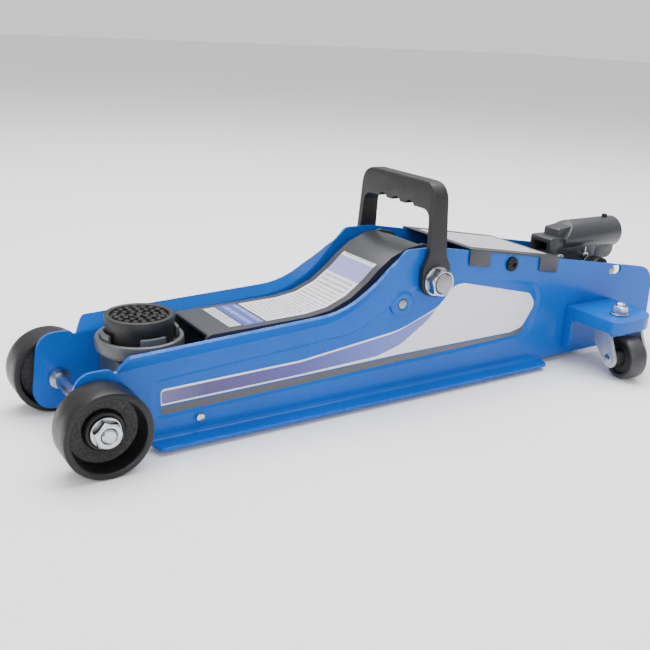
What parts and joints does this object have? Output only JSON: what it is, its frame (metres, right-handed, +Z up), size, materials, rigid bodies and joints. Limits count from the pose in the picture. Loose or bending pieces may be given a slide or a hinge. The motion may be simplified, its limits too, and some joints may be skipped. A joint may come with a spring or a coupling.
{
  "type": "hydraulic floor jack",
  "caption": "Low-profile trolley jack: pressed side plates, gooseneck lift arm with a level saddle, hydraulic unit, front wheels, rear castors, handle socket and a carry handle.",
  "frame": {"origin": "middle of the footprint's bounding box, on the floor", "axes": "+X towards the handle end, -Y the left side seen by a person behind the jack who looks forwards, +Z up"},
  "size_m": [0.5856, 0.2392, 0.1735],
  "materials": {
    "blue_enamel": "gloss enamel on pressed steel",
    "grey_enamel": "satin enamel on pressed and cast steel",
    "black_iron": "rough cast iron, painted black, turned rim",
    "black_plastic": "moulded black plastic",
    "black_rubber": "moulded black rubber",
    "bright_zinc": "bright zinc plate",
    "plain_steel": "plain turned steel, oiled",
    "black_oxide": "black paint and black oxide"
  },
  "bodies": {
    "frame": {"side_plate_left": "blue_enamel", "side_plate_right": "blue_enamel", "castor_bracket_left": "blue_enamel", "castor_bracket_right": "blue_enamel", "castor_stud_left": "bright_zinc", "castor_stud_right": "bright_zinc", "front_axle": "bright_zinc", "wheel_nut_left": "bright_zinc", "wheel_nut_right": "bright_zinc", "front_tie_rod": "bright_zinc", "rear_tie_rod": "blue_enamel", "cover_tie_rod": "plain_steel", "cover_screw_left": "black_oxide", "cover_screw_right": "black_oxide", "cover_plate": "grey_enamel", "arm_pivot_shaft": "plain_steel", "pivot_nut_left": "bright_zinc", "pivot_nut_right": "bright_zinc", "link_anchor_pin_left": "plain_steel", "link_anchor_pin_right": "plain_steel", "ram_cylinder": "plain_steel", "reservoir_tube": "black_oxide", "gland_nut": "black_oxide", "pump_block": "black_oxide", "filler_plug": "bright_zinc", "trunnion_pin_left": "plain_steel", "trunnion_pin_right": "plain_steel", "unit_base_plate": "blue_enamel", "socket_pivot_pin": "bright_zinc"},
    "lift_arm": {"lift_arm": "grey_enamel", "crank_pin": "plain_steel", "head_pin": "plain_steel"},
    "crank_roller": {"crank_roller": "plain_steel"},
    "saddle_head": {"saddle_head": "grey_enamel", "link_pin": "plain_steel", "saddle_clip": "bright_zinc"},
    "saddle": {"saddle": "grey_enamel", "saddle_pad": "black_rubber"},
    "link_bar_left": {"link_bar_left": "plain_steel"},
    "link_bar_right": {"link_bar_right": "plain_steel"},
    "ram": {"ram": "bright_zinc", "spring_crossbar": "plain_steel", "return_spring_left": "bright_zinc", "return_spring_right": "bright_zinc"},
    "pump_plunger": {"pump_plunger": "bright_zinc"},
    "handle_socket": {"handle_socket": "grey_enamel", "plunger_pin": "bright_zinc", "plunger_cotter": "bright_zinc", "socket_set_screw": "black_oxide"},
    "release_valve": {"release_valve": "plain_steel"},
    "carry_handle": {"carry_handle": "black_plastic"},
    "front_wheel_left": {"front_wheel_left": "black_iron"},
    "front_wheel_right": {"front_wheel_right": "black_iron"},
    "castor_fork_left": {"castor_fork_left": "bright_zinc", "castor_axle_left": "bright_zinc"},
    "castor_fork_right": {"castor_fork_right": "bright_zinc", "castor_axle_right": "bright_zinc"},
    "castor_wheel_left": {"castor_wheel_left": "black_rubber"},
    "castor_wheel_right": {"castor_wheel_right": "black_rubber"}
  },
  "joints": [
    {"name": "arm_lift", "type": "hinge", "parent": "frame", "child": "lift_arm", "pos_m": [0.012, 0, 0.0966], "axis": [0, 1, 0], "range_deg": [0, 70]},
    {"name": "crank_roller_spin", "type": "hinge", "parent": "lift_arm", "child": "crank_roller", "pos_m": [0.04183, 0, 0.054], "axis": [0, 1, 0], "continuous": true},
    {"name": "head_level", "type": "hinge", "parent": "lift_arm", "child": "saddle_head", "pos_m": [-0.197, 0, 0.044], "axis": [0, 1, 0], "range_deg": [-70, 0]},
    {"name": "saddle_spin", "type": "hinge", "parent": "saddle_head", "child": "saddle", "pos_m": [-0.215, 0, 0.058], "axis": [0, 0, 1], "continuous": true},
    {"name": "link_swing_left", "type": "hinge", "parent": "frame", "child": "link_bar_left", "pos_m": [-0.015, -0.035, 0.079], "axis": [0, 1, 0], "range_deg": [0, 70]},
    {"name": "link_swing_right", "type": "hinge", "parent": "frame", "child": "link_bar_right", "pos_m": [-0.015, 0.035, 0.079], "axis": [0, 1, 0], "range_deg": [0, 70]},
    {"name": "ram_slide", "type": "slide", "parent": "frame", "child": "ram", "axis": [-1, 0, 0], "range_m": [0, 0.0598], "deforming": ["return_spring_left", "return_spring_right"]},
    {"name": "socket_pump", "type": "hinge", "parent": "frame", "child": "handle_socket", "pos_m": [0.189, 0, 0.089], "axis": [0, -1, 0], "range_deg": [0, 40]},
    {"name": "plunger_slide", "type": "slide", "parent": "frame", "child": "pump_plunger", "axis": [0, 0, 1], "range_m": [0, 0.0226]},
    {"name": "release_turn", "type": "hinge", "parent": "frame", "child": "release_valve", "pos_m": [0.24, 0, 0.024], "axis": [1, 0, 0], "range_deg": [0, 360]},
    {"name": "carry_swing", "type": "hinge", "parent": "frame", "child": "carry_handle", "pos_m": [0.012, 0, 0.0966], "axis": [0, 1, 0], "range_deg": [-10, 45]},
    {"name": "front_wheel_spin_left", "type": "hinge", "parent": "frame", "child": "front_wheel_left", "pos_m": [-0.263, -0.0592, 0.03], "axis": [0, 1, 0], "continuous": true},
    {"name": "castor_swivel_left", "type": "hinge", "parent": "frame", "child": "castor_fork_left", "pos_m": [0.2, -0.083, 0.044], "axis": [0, 0, 1], "continuous": true},
    {"name": "castor_wheel_spin_left", "type": "hinge", "parent": "castor_fork_left", "child": "castor_wheel_left", "pos_m": [0.19664, -0.09967, 0.019], "axis": [0.9803, -0.1977, 0], "continuous": true},
    {"name": "front_wheel_spin_right", "type": "hinge", "parent": "frame", "child": "front_wheel_right", "pos_m": [-0.263, 0.0592, 0.03], "axis": [0, 1, 0], "continuous": true},
    {"name": "castor_swivel_right", "type": "hinge", "parent": "frame", "child": "castor_fork_right", "pos_m": [0.2, 0.083, 0.044], "axis": [0, 0, 1], "continuous": true},
    {"name": "castor_wheel_spin_right", "type": "hinge", "parent": "castor_fork_right", "child": "castor_wheel_right", "pos_m": [0.19664, 0.09967, 0.019], "axis": [0.9803, 0.1977, 0], "continuous": true}
  ],
  "couplings": [
    {"joint": "head_level", "follows": "arm_lift", "ratio": -1},
    {"joint": "link_swing_left", "follows": "arm_lift", "ratio": 1},
    {"joint": "link_swing_right", "follows": "arm_lift", "ratio": 1},
    {"joint": "ram_slide", "follows": "arm_lift", "m_per_rad": 0.048826},
    {"joint": "plunger_slide", "follows": "socket_pump", "m_per_rad": 0.032225}
  ]
}
